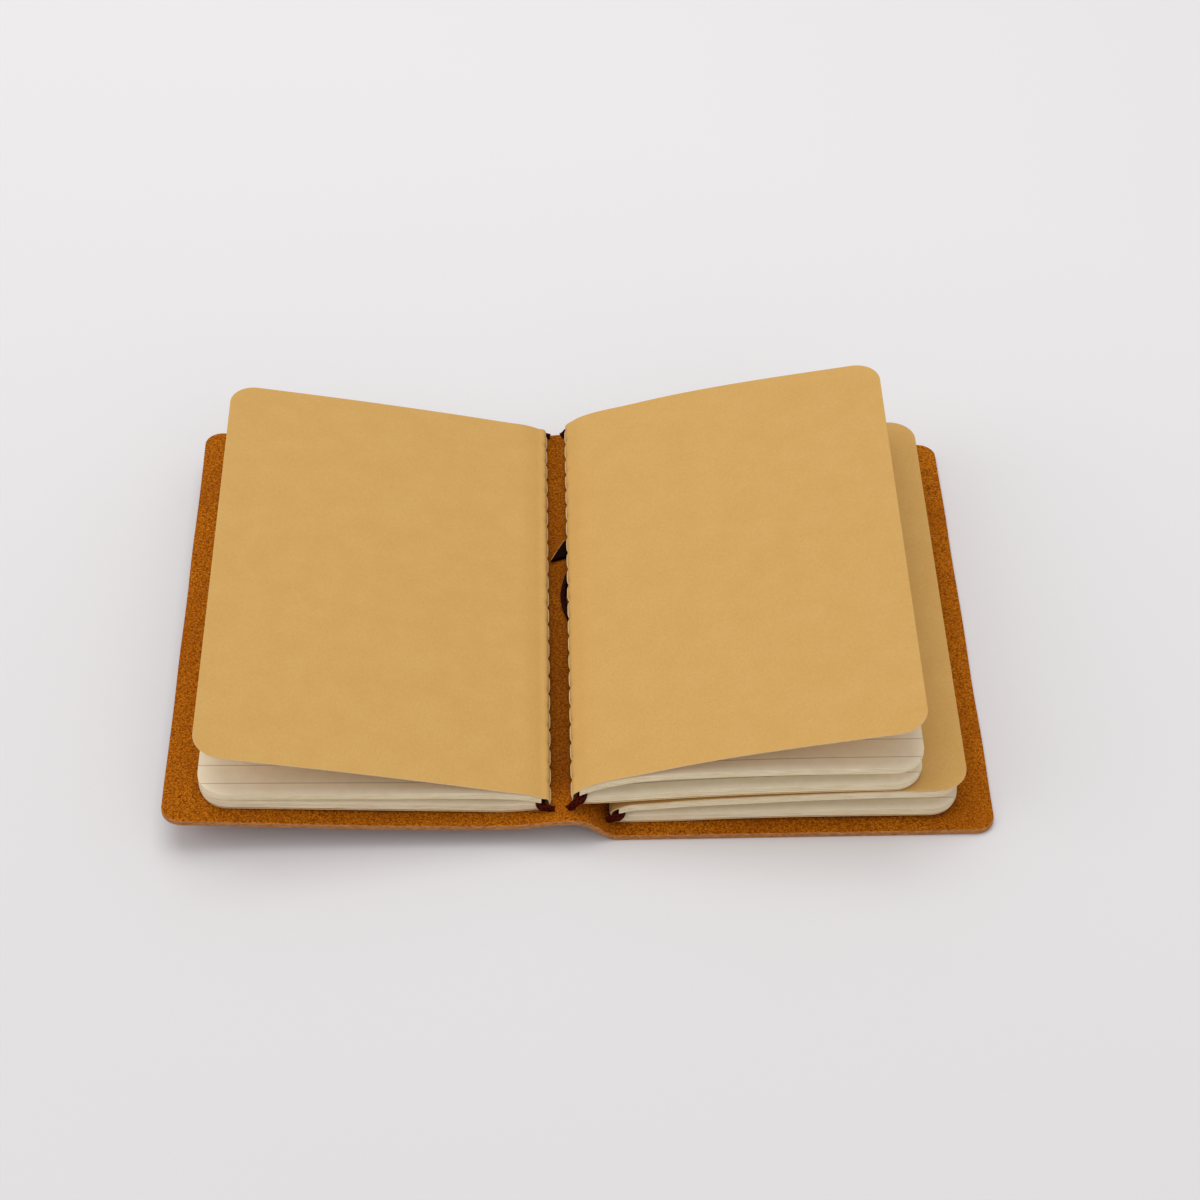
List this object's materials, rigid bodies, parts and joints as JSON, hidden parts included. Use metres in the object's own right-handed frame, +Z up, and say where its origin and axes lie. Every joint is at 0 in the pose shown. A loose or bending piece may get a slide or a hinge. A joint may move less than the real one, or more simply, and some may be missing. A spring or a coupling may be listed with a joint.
{
  "type": "refillable pocket notebook",
  "caption": "Open refillable pocket notebook with a folded leather cover and kraft booklets held on elastics, their covers standing up.",
  "frame": {"origin": "on the table under the middle of the leather cover", "axes": "+X to the reader's right across the two wings, +Y away from the reader along the spine, +Z up"},
  "size_m": [0.2116, 0.1464, 0.0353],
  "materials": {
    "leather": "undyed tan leather, suede side up, matt",
    "kraft": "smooth kraft card, matt",
    "paper": "ivory ruled paper, matt",
    "thread": "waxed sewing thread",
    "elastic": "woven elastic cord, dark red-brown"
  },
  "bodies": {
    "back_wing": {"leather_back_wing": "leather", "lower_back_cover": "kraft", "lower_lower_leaves": "paper", "lower_upper_leaves": "paper", "lower_cover_shoulder": "kraft", "lower_front_cover": "kraft", "lower_thread": "thread", "lower_elastic": "elastic"},
    "spine": {"leather_spine": "leather"},
    "closure": {"closure_strap_end": "elastic", "closure_cord_end": "elastic"},
    "front_wing": {"leather_front_wing": "leather"},
    "left_booklet": {"left_back_cover": "kraft", "left_lower_leaves": "paper", "left_thread": "thread", "left_elastic": "elastic", "left_upper_leaves": "paper", "left_cover_shoulder": "kraft", "left_cover_crease": "kraft"},
    "left_cover": {"left_front_cover": "kraft"},
    "upper_booklet": {"upper_back_cover": "kraft", "upper_lower_leaves": "paper", "upper_elastic": "elastic", "upper_thread": "thread", "upper_upper_leaves": "paper", "upper_cover_shoulder": "kraft", "upper_cover_crease": "kraft"},
    "upper_cover": {"upper_front_cover": "kraft"}
  },
  "joints": [
    {"name": "cover_close", "type": "hinge", "parent": "back_wing", "child": "spine", "pos_m": [0.00365, 0, 0.00545], "axis": [0, 1, 0], "range_deg": [0, 90]},
    {"name": "front_wing_fold", "type": "hinge", "parent": "spine", "child": "front_wing", "pos_m": [-0.02255, 0, 0.00643], "axis": [0, 1, 0], "range_deg": [0, 84]},
    {"name": "left_booklet_turn", "type": "hinge", "parent": "back_wing", "child": "left_booklet", "pos_m": [0.00085, 0, 0.0179], "axis": [0, 1, 0], "range_deg": [0, 174]},
    {"name": "upper_booklet_carry", "type": "hinge", "parent": "spine", "child": "upper_booklet", "pos_m": [-0.00085, 0, 0.00955], "axis": [0, 1, 0], "range_deg": [-90, 0]},
    {"name": "upper_cover_press", "type": "hinge", "parent": "upper_booklet", "child": "upper_cover", "pos_m": [0.01525, 0, 0.02002], "axis": [0, 1, 0], "range_deg": [0, 10.7]},
    {"name": "left_cover_press", "type": "hinge", "parent": "left_booklet", "child": "left_cover", "pos_m": [-0.01795, 0, 0.01401], "axis": [0, -1, 0], "range_deg": [0, 10.5]},
    {"name": "closure_tuck", "type": "slide", "parent": "spine", "child": "closure", "axis": [-1, 0, 0], "range_m": [0, 0.0065]}
  ],
  "couplings": [
    {"joint": "front_wing_fold", "follows": "cover_close", "ratio": 0.93332},
    {"joint": "left_booklet_turn", "follows": "cover_close", "ratio": 1.9333},
    {"joint": "upper_booklet_carry", "follows": "cover_close", "ratio": -1},
    {"joint": "upper_cover_press", "follows": "cover_close", "ratio": 0.11888},
    {"joint": "left_cover_press", "follows": "cover_close", "ratio": 0.11666},
    {"joint": "closure_tuck", "follows": "cover_close", "m_per_rad": 0.004137}
  ]
}
